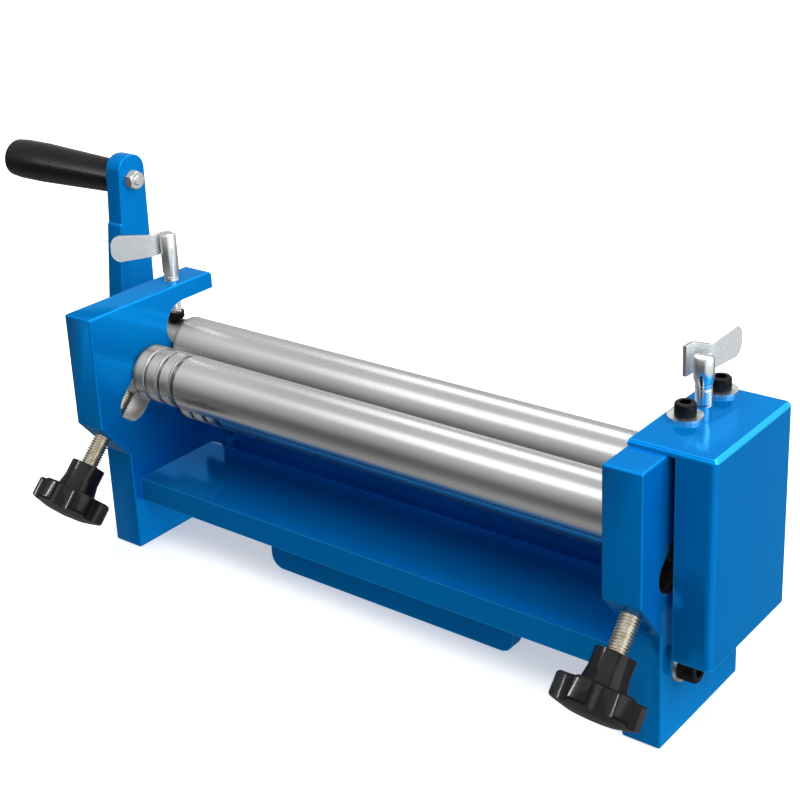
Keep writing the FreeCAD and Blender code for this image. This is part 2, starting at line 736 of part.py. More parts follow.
def spur_gear(label, height):
    """Involute spur gear on a keyed seat; its module follows from the rollers' centre distance."""
    teeth = round(number("dims.gear_teeth"))
    pressure = math.radians(number("dims.gear_pressure"))
    pitch_radius = number("dims.roller_radius + dims.nip_gap / 2")
    module = 2 * pitch_radius / teeth
    base_radius = pitch_radius * math.cos(pressure)
    tip_radius = pitch_radius + module
    root_radius = pitch_radius - 1.25 * module
    half_angle = math.pi / (2 * teeth) - number("dims.gear_backlash") / (2 * pitch_radius)
    start_radius = max(base_radius, root_radius)
    flank_radii = [start_radius + (tip_radius - start_radius) * step / 4 for step in range(5)]
    edges = []
    for tooth in range(teeth):
        middle = 2 * math.pi * tooth / teeth
        flank_angles = [gear_flank(half_angle, base_radius, pressure, radius) for radius in flank_radii]
        rising = [on_circle(radius, middle - angle) for radius, angle in zip(flank_radii, flank_angles)]
        falling = [on_circle(radius, middle + angle) for radius, angle in zip(flank_radii, flank_angles)]
        falling.reverse()
        foot = on_circle(root_radius, middle - flank_angles[0])
        heel = on_circle(root_radius, middle + flank_angles[0])
        next_foot = on_circle(root_radius, middle + 2 * math.pi / teeth - flank_angles[0])
        bottom = on_circle(root_radius, middle + math.pi / teeth)
        for flank in (rising, falling):
            curve = Part.BSplineCurve()
            curve.interpolate(flank)
            edges.append(curve.toShape())
        edges.append(Part.Arc(rising[-1], on_circle(tip_radius, middle), falling[0]).toShape())
        edges.append(Part.LineSegment(foot, rising[0]).toShape())
        edges.append(Part.LineSegment(falling[-1], heel).toShape())
        edges.append(Part.Arc(heel, bottom, next_foot).toShape())
    outline = Part.Wire(Part.__sortEdges__(edges))
    width = number("dims.gear_width")
    blank = Part.Face(outline).extrude(FreeCAD.Vector(0, 0, width))
    bore = Part.makeCylinder(number("dims.gear_seat_radius + dims.seat_clearance"), width)
    key_half = number("dims.key_side / 2 + dims.seat_clearance")
    key_top = number("dims.gear_seat_radius + dims.key_side / 2 + dims.seat_clearance")
    slot = Part.makeBox(key_top, 2 * key_half, width, FreeCAD.Vector(0, -key_half, 0))
    gear = document.addObject("Part::Feature", label)
    gear.Label = label
    gear.Shape = blank.cut(bore.fuse(slot))
    subparts.append(gear)
    place(gear, GEAR_START, ROLLER_Y, height, along_x(1))


def gear_train():
    """Pair of equal gears at the rollers' ends, each keyed and held by a washer and a screw."""
    for level, height in (("drive", "dims.drive_height"), ("upper", UPPER_HEIGHT)):
        spur_gear(f"{level}_gear", height)
        square_key(
            f"{level}_gear_key", "dims.key_side", "dims.key_length",
            f"{GEAR_START} + dims.gear_width / 2", height, "dims.gear_seat_radius",
        )
        ring = washer(
            f"{level}_gear_washer", "dims.gear_washer_radius",
            "dims.small_screw_radius + dims.slide_clearance", "dims.gear_washer_thick",
        )
        place(ring, GEAR_END, ROLLER_Y, height, along_x(1))
        screw = socket_screw(
            f"{level}_gear_screw", "dims.small_head_radius", LOW_HEAD_HEIGHT,
            "dims.small_screw_radius", "(dims.end_hole_depth - dims.gear_washer_thick)",
        )
        place(screw, f"{GEAR_END} + dims.gear_washer_thick", ROLLER_Y, height, along_x(1))


def gear_cover():
    """Bent sheet hood over the gears, screwed to the top of the gear-side frame and open below."""
    body = new_body("gear_cover")
    outer = (
        f"({GEAR_END} + dims.gear_washer_thick + {LOW_HEAD_HEIGHT} + dims.cover_clearance"
        " + dims.cover_sheet)"
    )
    panel_start = f"({OUTER} + dims.cover_lip)"
    inner_top = FRAME_TOP
    shell = new_sketch(
        body, "cover_shell", "XY_Plane",
        "vector(0; 0; dims.cover_bottom); rotation(vector(0; 0; 1); 0)",
    )
    polygon(shell, [
        (panel_start, "dims.cover_front"),
        (outer, "dims.cover_front"),
        (outer, COVER_REAR),
        (panel_start, COVER_REAR),
    ])
    pad(body, shell, f"{COVER_TOP} - dims.cover_bottom")
    uprights = [(number(outer), number(depth)) for depth in ("dims.cover_front", COVER_REAR)]
    soften(body, "Fillet", edges_along(body, "Z", uprights), "dims.cover_bend")
    hollow = new_sketch(
        body, "cover_hollow", "XY_Plane",
        f"vector(0; 0; {inner_top}); rotation(vector(0; 0; 1); 0)",
    )
    polygon(hollow, [
        (f"{panel_start} - dims.cover_sheet", "dims.cover_front + dims.cover_sheet"),
        (f"{outer} - dims.cover_sheet", "dims.cover_front + dims.cover_sheet"),
        (f"{outer} - dims.cover_sheet", f"{COVER_REAR} - dims.cover_sheet"),
        (f"{panel_start} - dims.cover_sheet", f"{COVER_REAR} - dims.cover_sheet"),
    ])
    pocket(body, hollow)
    flange = new_sketch(
        body, "cover_flange", "XY_Plane",
        f"vector(0; 0; {inner_top}); rotation(vector(0; 0; 1); 0)",
    )
    polygon(flange, [
        (INNER, "dims.cover_front"),
        (panel_start, "dims.cover_front"),
        (panel_start, COVER_REAR),
        (INNER, COVER_REAR),
    ])
    pad(body, flange, "dims.cover_sheet")
    top_edge = (number(outer), number(COVER_TOP))
    soften(body, "Fillet", edges_along(body, "Y", [top_edge]), "dims.cover_bend - dims.cover_sheet / 2")
    holes = new_sketch(
        body, "cover_holes", "XY_Plane",
        f"vector(0; 0; {COVER_TOP}); rotation(vector(0; 0; 1); 0)",
    )
    for spread in ("- dims.cover_screw_spread", "+ dims.cover_screw_spread"):
        radius = "dims.small_screw_radius + dims.slide_clearance"
        circle(holes, FRAME_MIDDLE, f"dims.roller_depth {spread}", radius)
    circle(holes, FRAME_MIDDLE, "dims.roller_depth", "dims.clamp_radius + dims.slide_clearance")
    pocket(body, holes)
    place(body, "0", "-dims.origin_depth", "0")
    for row, spread in (("front", "- dims.cover_screw_spread"), ("rear", "+ dims.cover_screw_spread")):
        y = f"{ROLLER_Y} {spread}"
        ring = washer(
            f"cover_washer_{row}", "dims.large_washer_radius",
            "dims.small_screw_radius + dims.slide_clearance", "dims.large_washer_thick",
        )
        place(ring, FRAME_MIDDLE, y, COVER_TOP)
        screw = socket_screw(
            f"cover_screw_{row}", "dims.small_head_radius", "dims.small_head_height",
            "dims.small_screw_radius", "(dims.cover_screw_length + dims.cover_sheet)",
        )
        place(screw, FRAME_MIDDLE, y, f"{COVER_TOP} + dims.large_washer_thick")


def bearing_blocks():
    """Round-ended steel blocks that carry the bending roller up and down the slanting slots."""
    half = "(dims.slot_half - dims.slide_clearance)"
    for name, side in SIDES:
        body = new_body(f"bearing_block_{name}")
        outline = new_sketch(body, f"{name}_block_outline", "XY_Plane")
        round_ended(outline, ("0", f"{half} - dims.block_low"), ("0", "0"), half)
        pad(body, outline, "dims.frame_thick - 2 * dims.block_recess", symmetric=True)
        bore = new_sketch(body, f"{name}_block_bore", "XY_Plane")
        circle(bore, "0", "0", "dims.bend_journal_radius + dims.running_clearance")
        pocket(body, bore, symmetric=True)
        socket = new_sketch(
            body, f"{name}_block_socket", "XZ_Plane",
            "vector(0; 0; dims.block_low); rotation(vector(0; 0; 1); 0)",
        )
        circle(socket, "0", "0", "dims.adjuster_radius + dims.running_clearance")
        pocket(body, socket, "dims.adjuster_entry")
        place(
            body, f"{side} * {FRAME_MIDDLE}", f"{BEND_DEPTH} - dims.origin_depth", BEND_HEIGHT,
            "rotation(vector(1; 0; 0); dims.adjust_angle) * rotation(vector(0; 1; 0); 90)",
        )


def adjusters():
    """Screw and star knob under each block; the knob's lobes are left between six scallops."""
    along = "rotation(vector(1; 0; 0); dims.adjust_angle - 90)"
    tip = "(dims.adjuster_entry - dims.slide_clearance - dims.block_low)"
    hub_end = "(-dims.adjuster_reach - dims.knob_hub_length)"
    face = f"({hub_end} - dims.knob_thick)"
    bore_end = "(-dims.adjuster_reach - dims.knob_bore_depth)"
    for name, side in SIDES:
        seat = (f"{side} * {FRAME_MIDDLE}", f"{BEND_DEPTH} - dims.origin_depth", BEND_HEIGHT, along)
        screw = turned(f"adjusting_screw_{name}", [
            ("0", bore_end),
            ("dims.adjuster_radius", bore_end),
            ("dims.adjuster_radius", f"{tip} - dims.screw_chamfer"),
            ("dims.adjuster_radius - dims.screw_chamfer", tip),
            ("0", tip),
        ])
        place(screw, *seat)
        bore = "dims.adjuster_radius + dims.seat_clearance"
        knob = turned(f"star_knob_{name}", [
            ("0", face),
            ("dims.knob_radius * 0.55", f"{face} + dims.knob_dome * 0.3"),
            ("dims.knob_radius", f"{face} + dims.knob_dome"),
            ("dims.knob_radius", hub_end),
            ("dims.knob_root_radius", hub_end),
            ("dims.knob_hub_radius", f"{hub_end} + dims.knob_root_length"),
            ("dims.knob_hub_radius", "-dims.adjuster_reach"),
            (bore, "-dims.adjuster_reach"),
            (bore, f"{bore_end} - dims.slide_clearance"),
            ("0", f"{bore_end} - dims.slide_clearance"),
        ])
        scallop = new_sketch(
            knob, f"{name}_knob_scallop", "XY_Plane",
            f"vector(0; 0; {hub_end}); rotation(vector(0; 0; 1); 0)",
        )
        across = "dims.knob_radius - dims.knob_scallop_depth + dims.knob_scallop_radius"
        circle(scallop, across, "0", "dims.knob_scallop_radius")
        cut = pocket(knob, scallop, "dims.knob_thick")
        pattern = knob.newObject("PartDesign::PolarPattern", f"{name}_knob_lobes")
        pattern.Originals = [cut]
        pattern.Axis = (scallop, ["N_Axis"])
        pattern.Angle = 360
        pattern.setExpression("Occurrences", "dims.knob_lobes")
        knob.Tip = pattern
        document.recompute()
        rims = rim_edges(knob, number(f"{face} + dims.knob_dome"), number(hub_end))
        soften(knob, "Fillet", rims, "dims.knob_round")
        place(knob, *seat)


def rim_edges(body, lowest, highest):
    """Names of a star knob's rim edges: those that lie outside its hub, at or between two heights."""
    names = []
    hub = number("dims.knob_root_radius")
    for index, edge in enumerate(body.Shape.Edges, start=1):
        middle = edge.valueAt((edge.FirstParameter + edge.LastParameter) / 2)
        radius = math.hypot(middle.x, middle.y)
        level = min(abs(middle.z - highest), abs(middle.z - lowest)) < MATCH
        if radius > hub + 1 and level:
            names.append(f"Edge{index}")
    return names


def clamps():
    """Screw clamp over each upper bush: a pad, a screw through the frame's arm and a paddle handle."""
    pad_bottom = f"({UPPER_HEIGHT} + dims.bush_radius + dims.clamp_pad_gap)"
    pad_top = f"({pad_bottom} + dims.clamp_pad_thick)"
    for name, side in SIDES:
        x = f"{side} * {FRAME_MIDDLE}"
        handle_radius = f"dims.{name}_handle_radius"
        handle_height = f"dims.{name}_handle_height"
        handle_bottom = f"({FRAME_TOP if side < 0 else COVER_TOP} + dims.{name}_handle_rise)"
        stem_top = f"({handle_bottom} + dims.handle_bore_depth)"
        screw_bottom = f"({pad_top} - dims.clamp_entry)"
        screw = turned(f"clamp_screw_{name}", [
            ("0", "0"),
            ("dims.clamp_radius", "0"),
            ("dims.clamp_radius", f"{stem_top} - {screw_bottom}"),
            ("0", f"{stem_top} - {screw_bottom}"),
        ])
        place(screw, x, ROLLER_Y, screw_bottom)
        socket_radius = "dims.clamp_radius + dims.running_clearance"
        socket_floor = "(dims.clamp_pad_thick - dims.clamp_entry - dims.slide_clearance)"
        foot = turned(f"clamp_pad_{name}", [
            ("0", "0"),
            ("dims.clamp_pad_radius - dims.screw_chamfer", "0"),
            ("dims.clamp_pad_radius", "dims.screw_chamfer"),
            ("dims.clamp_pad_radius", "dims.clamp_pad_thick"),
            (socket_radius, "dims.clamp_pad_thick"),
            (socket_radius, socket_floor),
            ("0", socket_floor),
        ])
        place(foot, x, ROLLER_Y, pad_bottom)
        bore = "dims.clamp_radius + dims.seat_clearance"
        bore_end = "dims.handle_bore_depth + dims.seat_clearance"
        handle = turned(f"clamp_handle_{name}", [
            (bore, "0"),
            ("dims.clamp_radius + dims.screw_chamfer", "0"),
            (handle_radius, "dims.handle_cone"),
            (handle_radius, f"{handle_height} - dims.screw_chamfer"),
            (f"{handle_radius} - dims.screw_chamfer", handle_height),
            ("0", handle_height),
            ("0", bore_end),
            (bore, bore_end),
        ])
        blade = new_sketch(handle, f"{name}_handle_blade", "XZ_Plane")
        middle = f"dims.{name}_blade_middle"
        root = f"{handle_radius} - dims.screw_chamfer"
        tip_ends = (f"{middle} - dims.handle_tip / 2", f"{middle} + dims.handle_tip / 2")
        polygon(blade, [
            (root, f"{middle} + dims.handle_root / 2"),
            (root, f"{middle} - dims.handle_root / 2"),
            ("dims.handle_reach", tip_ends[0]),
            ("dims.handle_reach", tip_ends[1]),
        ])
        pad(handle, blade, "dims.handle_plate", symmetric=True)
        tip_corners = [(number("dims.handle_reach"), number(end)) for end in tip_ends]
        soften(handle, "Fillet", edges_along(handle, "Y", tip_corners), "dims.handle_tip * 0.42")
        place(handle, x, ROLLER_Y, handle_bottom, f"rotation(vector(0; 0; 1); dims.{name}_handle_angle)")


def crank():
    """Tapered crank arm keyed to the drive roller, with a free-turning grip on a through bolt."""
    lean = "rotation(vector(1; 0; 0); dims.crank_lean)"
    body = new_body("crank_arm")
    outline = new_sketch(body, "arm_outline", "YZ_Plane")
    tip = "(dims.crank_reach + dims.crank_tip_rise)"
    shoulder = "(dims.crank_reach - dims.crank_step_drop)"
    taper = "((dims.crank_hub_half - dims.crank_tip_half) / dims.crank_reach)"
    shoulder_half = f"(dims.crank_tip_half + {taper} * dims.crank_step_drop)"
    drop = "dims.crank_hub_drop"
    polygon(outline, [
        ("-dims.crank_tip_half", tip),
        (f"-{shoulder_half} + dims.crank_step", shoulder),
        (f"-{shoulder_half}", f"{shoulder} - dims.crank_step"),
        ("-dims.crank_hub_half", "0"),
        ("-dims.crank_hub_half", f"dims.crank_hub_chamfer - {drop}"),
        ("dims.crank_hub_chamfer - dims.crank_hub_half", f"-{drop}"),
        ("dims.crank_hub_half - dims.crank_hub_chamfer", f"-{drop}"),
        ("dims.crank_hub_half", f"dims.crank_hub_chamfer - {drop}"),
        ("dims.crank_hub_half", "0"),
        ("dims.crank_tip_half", tip),
    ])
    pad(body, outline, "dims.crank_thick", symmetric=True)
    tip_corners = [(side * number("dims.crank_tip_half"), number(tip)) for _, side in SIDES]
    soften(body, "Fillet", edges_along(body, "X", tip_corners), "dims.crank_tip_half - 0.5")
    edges = [f"Edge{index}" for index in range(1, len(body.Shape.Edges) + 1)]
    soften(body, "Fillet", edges, "dims.crank_edge / 2")
    bore = new_sketch(body, "arm_bores", "YZ_Plane")
    circle(bore, "0", "0", "dims.crank_seat_radius + dims.seat_clearance")
    circle(bore, "0", "dims.crank_reach", "dims.small_screw_radius + dims.seat_clearance")
    pocket(body, bore, symmetric=True)
    # turned back by the arm's lean, so that the keyway stays in line with the one in the shaft
    key_slot = new_sketch(
        body, "arm_keyway", "YZ_Plane", "vector(0; 0; 0); rotation(vector(0; 0; 1); -dims.crank_lean)",
    )
    half = "(dims.crank_key_side / 2 + dims.seat_clearance)"
    floor = "-(dims.crank_seat_radius + dims.crank_key_side / 2 + dims.seat_clearance)"
    polygon(key_slot, [(f"-{half}", "0"), (f"-{half}", floor), (half, floor), (half, "0")])
    pocket(body, key_slot, symmetric=True)
    middle = f"-({CRANK_INNER} + dims.crank_thick / 2)"
    place(body, middle, ROLLER_Y, "dims.drive_height", lean)

    square_key("crank_key", "dims.crank_key_side", "dims.crank_key_length", middle,
               "dims.drive_height", "dims.crank_seat_radius")
    ring = washer("crank_washer", "dims.crank_washer_radius",
                  "dims.small_screw_radius + dims.slide_clearance", "dims.crank_washer_thick")
    place(ring, f"-{CRANK_OUTER}", ROLLER_Y, "dims.drive_height", along_x(-1))
    screw = socket_screw("crank_screw", "dims.small_head_radius", "dims.small_head_height",
                         "dims.small_screw_radius", "(dims.end_hole_depth - dims.crank_washer_thick)")
    place(screw, f"-({CRANK_OUTER} + dims.crank_washer_thick)", ROLLER_Y, "dims.drive_height", along_x(-1))

    grip_y = f"{ROLLER_Y} - dims.crank_reach * sin(dims.crank_lean)"
    grip_z = "dims.drive_height + dims.crank_reach * cos(dims.crank_lean)"
    bore_radius = "dims.small_screw_radius + dims.running_clearance"
    recess_floor = "(dims.grip_length - dims.grip_recess_depth)"
    grip = turned("grip", [
        (bore_radius, "0"),
        ("dims.grip_neck_radius - dims.screw_chamfer", "0"),
        ("dims.grip_neck_radius", "dims.screw_chamfer"),
        ("dims.grip_belly_radius", "dims.grip_length * 0.7"),
        ("dims.grip_belly_radius", "dims.grip_length * 0.9"),
        ("dims.grip_end_radius", "dims.grip_length - dims.grip_end_round"),
        ("dims.grip_end_radius - dims.grip_end_round", "dims.grip_length"),
        ("dims.grip_recess_radius", "dims.grip_length"),
        ("dims.grip_recess_radius", recess_floor),
        (bore_radius, recess_floor),
    ])
    place(grip, f"-({CRANK_OUTER} + dims.grip_gap)", grip_y, grip_z, along_x(-1))
    bolt = socket_screw(
        "grip_bolt", "dims.small_head_radius", "dims.small_head_height", "dims.small_screw_radius",
        f"({recess_floor} + 2 * dims.grip_gap + dims.crank_thick + dims.nut_thick + dims.screw_chamfer)",
    )
    place(bolt, f"-({CRANK_OUTER} + 2 * dims.grip_gap + {recess_floor})", grip_y, grip_z, along_x(-1))
    nut = new_body("grip_nut")
    outline = new_sketch(nut, "nut_outline", "XY_Plane")
    polygon(outline, [
        (f"dims.nut_radius * cos({60 * step})", f"dims.nut_radius * sin({60 * step})") for step in range(6)
    ])
    pad(nut, outline, "dims.nut_thick")
    nut_bore = new_sketch(nut, "nut_bore", "XY_Plane")
    circle(nut_bore, "0", "0", "dims.small_screw_radius + dims.seat_clearance")
    pocket(nut, nut_bore, symmetric=True)
    place(nut, f"-{CRANK_INNER}", grip_y, grip_z, along_x(1))


for side_name, side_sign in SIDES:
    side_frame(side_name, side_sign)
tie_bar()
centre_foot()
tie_bolts()
feed_table()
bearing_bushes()
rollers()
gear_train()
gear_cover()
bearing_blocks()
adjusters()
clamps()
crank()
document.recompute()

for item in document.Objects:
    if "Invalid" in item.State or "Error" in item.State:
        raise RuntimeError(f"{item.Label} failed: {item.State}")
for piece in subparts:
    if piece.Shape.isNull() or not piece.Shape.isValid():
        raise RuntimeError(f"{piece.Label} has no valid shape")
os.makedirs("parts", exist_ok=True)
for piece in subparts:
    piece.Shape.exportStep(f"parts/{piece.Label}.step")
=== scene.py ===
from math import cos, pi, radians, sin

import bmesh
import bpy
from mathutils import Matrix, Vector


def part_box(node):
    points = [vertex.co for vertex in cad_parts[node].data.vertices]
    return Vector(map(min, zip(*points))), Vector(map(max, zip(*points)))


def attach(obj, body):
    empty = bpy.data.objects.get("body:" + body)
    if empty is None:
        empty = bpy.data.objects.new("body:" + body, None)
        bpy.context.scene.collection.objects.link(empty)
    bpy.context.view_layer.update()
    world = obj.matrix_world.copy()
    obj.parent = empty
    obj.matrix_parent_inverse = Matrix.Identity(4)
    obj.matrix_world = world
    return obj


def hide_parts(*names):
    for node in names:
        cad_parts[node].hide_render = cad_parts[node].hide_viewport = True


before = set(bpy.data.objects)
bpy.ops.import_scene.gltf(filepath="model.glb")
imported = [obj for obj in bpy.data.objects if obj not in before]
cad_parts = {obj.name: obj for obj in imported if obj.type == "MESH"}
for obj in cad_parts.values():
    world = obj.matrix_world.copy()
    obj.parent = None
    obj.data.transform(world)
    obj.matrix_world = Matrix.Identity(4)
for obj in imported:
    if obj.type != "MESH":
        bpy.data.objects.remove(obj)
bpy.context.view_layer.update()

# Side frames: two upright plates flame cut from 20 mm steel, with the edges ground round, the
# bearing notch and the slanted adjuster slot milled in, and the whole sprayed in a thick glossy
# blue enamel that pools a little, with a pale painted highlight over the corners.


class Wire:
    """A socket of a material: arithmetic on it adds Math nodes after it."""

    def __init__(self, tree, socket):
        self.tree = tree
        self.socket = socket

    def node(self, kind, settings, inputs, output=0):
        """Adds a node of any kind: its settings first, then a value or a wire for each socket."""
        made = self.tree.nodes.new("ShaderNode" + kind)
        stops = settings.pop("stops", None)
        for name, value in settings.items():
            setattr(made, name, value)
        if stops:
            ramp = made.color_ramp.elements
            while len(ramp) < len(stops):
                ramp.new(1.0)
            for stop, (place, colour) in zip(ramp, stops):
                stop.position = place
                stop.color = colour
        for name, value in inputs.items():
            if isinstance(value, Wire):
                self.tree.links.new(value.socket, made.inputs[name])
            else:
                made.inputs[name].default_value = value
        return Wire(self.tree, made.outputs[output])

    def maths(self, operation, first, second=0.0):
        return self.node("Math", {"operation": operation}, {0: first, 1: second})

    def __add__(self, other):
        return self.maths("ADD", self, other)

    def __radd__(self, other):
        return self.maths("ADD", other, self)

    def __sub__(self, other):
        return self.maths("SUBTRACT", self, other)

    def __rsub__(self, other):
        return self.maths("SUBTRACT", other, self)

    def __mul__(self, other):
        return self.maths("MULTIPLY", self, other)

    def __rmul__(self, other):
        return self.maths("MULTIPLY", other, self)

    def power(self, exponent):
        return self.maths("POWER", self, exponent)

    def above(self, low, high):
        """0 below low, 1 above high, with a soft step between."""
        return self.node("MapRange", {"interpolation_type": "SMOOTHSTEP"},
                         {"Value": self, "From Min": low, "From Max": high})

    def axes(self):
        """The three axes of this vector, each as a wire."""
        split = self.node("SeparateXYZ", {}, {0: self}).socket.node
        return [Wire(self.tree, axis) for axis in split.outputs]

    def scaled(self, x, y, z):
        """The vector with each of its axes multiplied."""
        return self.node("VectorMath", {"operation": "MULTIPLY"}, {0: self, 1: (x, y, z)})

    def noise(self, scale, detail=2.0):
        """Noise read at this vector, with scale in features per metre."""
        return self.node("TexNoise", {}, {"Vector": self, "Scale": scale, "Detail": detail})

    def blend(self, first, second):
        """A colour, from first where this wire is 0 to second where it is 1."""
        return self.node("Mix", {"data_type": "RGBA"}, {0: self, 6: first, 7: second}, 2)


class Finish:
    """A surface finish: a Principled shader, with the piece's own coordinates as a wire."""

    def __init__(self, name, **even):
        self.material = bpy.data.materials.new(name)
        self.material.use_nodes = True
        tree = self.material.node_tree
        tree.nodes.clear()
        self.shader = tree.nodes.new("ShaderNodeBsdfPrincipled")
        output = tree.nodes.new("ShaderNodeOutputMaterial")
        tree.links.new(self.shader.outputs[0], output.inputs["Surface"])
        for socket, value in even.items():
            self.shader.inputs[socket.replace("_", " ")].default_value = value
        self.place = Wire(tree, tree.nodes.new("ShaderNodeTexCoord").outputs["Object"])

    def vary(self, socket, wire):
        """Lets a wire drive one socket of the shader."""
        wire.tree.links.new(wire.socket, self.shader.inputs[socket])

    def bump(self, height, depth):
        """Raises the surface by a height wire, whose 0 to 1 spans depth metres."""
        self.vary("Normal", height.node("Bump", {}, {"Height": height, "Distance": depth,
                                                     "Strength": 1.0}))

    def highlight_corners(self, reach):
        """1 on the outside corners and 0 on the flats, over a reach in metres."""
        least_bend, full_bend = 0.02, 0.35
        flat = self.place.node("NewGeometry", {}, {}, "Normal")
        soft = self.place.node("Bevel", {"samples": 4}, {"Radius": reach})
        same = self.place.node("VectorMath", {"operation": "DOT_PRODUCT"}, {0: flat, 1: soft},
                               "Value")
        return (1 - same).above(least_bend, full_bend)


def blue_enamel(name, painted_line=None):
    """Glossy blue enamel, with a pale painted highlight on the corners and wherever painted_line
    gives 1.
    """
    deep_blue, full_blue = (0.0, 0.232, 0.635, 1), (0.0, 0.272, 0.695, 1)
    highlight_blue = (0.05, 0.600, 0.950, 1)
    highlight_reach, highlight_share = 0.0014, 0.8
    speck_share, ripple_depth = 0.12, 0.00004
    paint = Finish(name, Metallic=0.42, Specular_Tint=(0.25, 0.75, 1.0, 1),
                   Specular_IOR_Level=0.12, Coat_Roughness=0.04, Coat_IOR=1.35)
    tone = paint.place.noise(9.0, 3.0)
    speck = paint.place.noise(900.0)
    orange_peel = paint.place.noise(160.0, 1.0)
    # Painted highlight: the corners, and any line that painted_line gives, are coloured pale blue.
    corner = paint.highlight_corners(highlight_reach) * highlight_share
    if painted_line:
        corner = corner.maths("MAXIMUM", corner, painted_line(paint.place))
    blue = tone.above(0.3, 0.7).blend(deep_blue, full_blue)
    paint.vary("Base Color", corner.blend(blue, highlight_blue))
    paint.vary("Roughness", 0.08 + 0.07 * tone + 0.03 * speck)
    paint.vary("Coat Weight", 0.02 + 0.06 * paint.place.noise(25.0))
    paint.bump(orange_peel + speck_share * speck, ripple_depth)
    return paint


def mottled(name, metallic, scale, detail, dark, pale, roughness, relief=None, spread=(0.3, 0.7)):
    """A metal whose colour, roughness and relief all follow one fine noise."""
    metal = Finish(name, Metallic=metallic)
    grain = metal.place.noise(scale, detail)
    smooth, rough = roughness
    metal.vary("Base Color", grain.above(*spread).blend(dark, pale))
    metal.vary("Roughness", smooth + (rough - smooth) * grain)
    if relief:
        metal.bump(grain, relief)
    return metal


def finished(shell, node, body, finish):
    """Makes the shell a piece that rides on its body and stands for its node."""
    sharp_corner = radians(30)
    bmesh.ops.recalc_face_normals(shell, faces=shell.faces)
    for face in shell.faces:
        face.smooth = True
    for edge in shell.edges:
        edge.smooth = edge.is_manifold and edge.calc_face_angle(0.0) < sharp_corner
    mesh = bpy.data.meshes.new(node + "_piece")
    shell.to_mesh(mesh)
    shell.free()
    piece = bpy.data.objects.new(node + "_piece", mesh)
    bpy.context.scene.collection.objects.link(piece)
    piece.data.materials.append(finish.material)
    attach(piece, body)
    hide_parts(node)
    return piece


weld = 0.000002


def from_cad(node, body, finish):
    """A piece whose form is right in the solid: its copy is merged and shaded smooth."""
    shell = bmesh.new()
    shell.from_mesh(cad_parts[node].data)
    bmesh.ops.remove_doubles(shell, verts=shell.verts, dist=weld)
    return finished(shell, node, body, finish)


frame_places = (("crank", -0.170), ("gear", 0.170))
half_wall, wall_tilt, plate_rear = 0.0095, 0.5, 0.0448
slot_depth, slot_height, slot_reach = -0.0095, 0.1035, 0.030
notch_front, notch_foot, notch_top = 0.005, 0.060, 0.1372
enamel = blue_enamel("blue_enamel")
milled = mottled("milled_steel", 1.0, scale=1500.0, detail=3.0, dark=(0.66, 0.66, 0.65, 1),
                 pale=(0.90, 0.90, 0.89, 1), roughness=(0.32, 0.50), relief=0.00003)
grease_and_shade = mottled("grease_and_shade_bore", 0.55, scale=350.0, detail=3.0, dark=(0.018, 0.015, 0.013, 1),
               pale=(0.085, 0.070, 0.060, 1), roughness=(0.42, 0.62), relief=0.00003,
               spread=(0.3, 0.75))
for side, middle in frame_places:
    plate = from_cad(side + "_side_frame", "base", enamel)
    plate.data.materials.append(grease_and_shade.material)
    plate.data.materials.append(milled.material)
    # The rollers mirror the room, not the plates.
    plate.visible_glossy = False
    for face in plate.data.polygons:
        spot = face.center
        wall = abs(spot.x - middle) < half_wall and abs(face.normal.x) < wall_tilt
        in_slot = Vector((spot.y - slot_depth, spot.z - slot_height)).length < slot_reach
        in_notch = spot.y > notch_front and notch_foot < spot.z < notch_top
        if wall and spot.y < plate_rear and (in_slot or in_notch):
            # Index 1 colours the notch walls near-black as painted shade, and the gear slot's walls
            # near-black too; index 2 is bright milled steel.
            face.material_index = 1 if in_notch or side == "gear" else 2

# Tie bar and centre foot: a flat steel bar bolted between the frames through their outer faces,
# with a short plate welded under its middle, both in the same enamel.
for part in ("tie_bar", "centre_foot"):
    from_cad(part, "base", enamel)

# Feed table: sheet steel folded into a step behind the rollers, in the same enamel, with its
# ends screwed to the rear of the two frames.
from_cad("feed_table", "base", enamel)

# Gear cover: one piece of 2.5 mm sheet folded over the gears and open below, in the same enamel,
# with a thin painted highlight along the upper fold; two cap screws hold it down.


def fold_highlight(place):
    """Share of painted highlight on the rounded fold between the cover's top and its outer side."""
    fold_start, fold_crest, share = 0.34960, 0.34986, 0.8
    across, _, up = place.axes()
    return (across + up).above(fold_start, fold_crest) * share


from_cad("gear_cover", "base", blue_enamel("cover_enamel", fold_highlight))

# Rollers: three solid bars of carbon steel, centreless ground, that run in steel bushes or in
# sliding blocks; the wire grooves are turned in near the crank end.


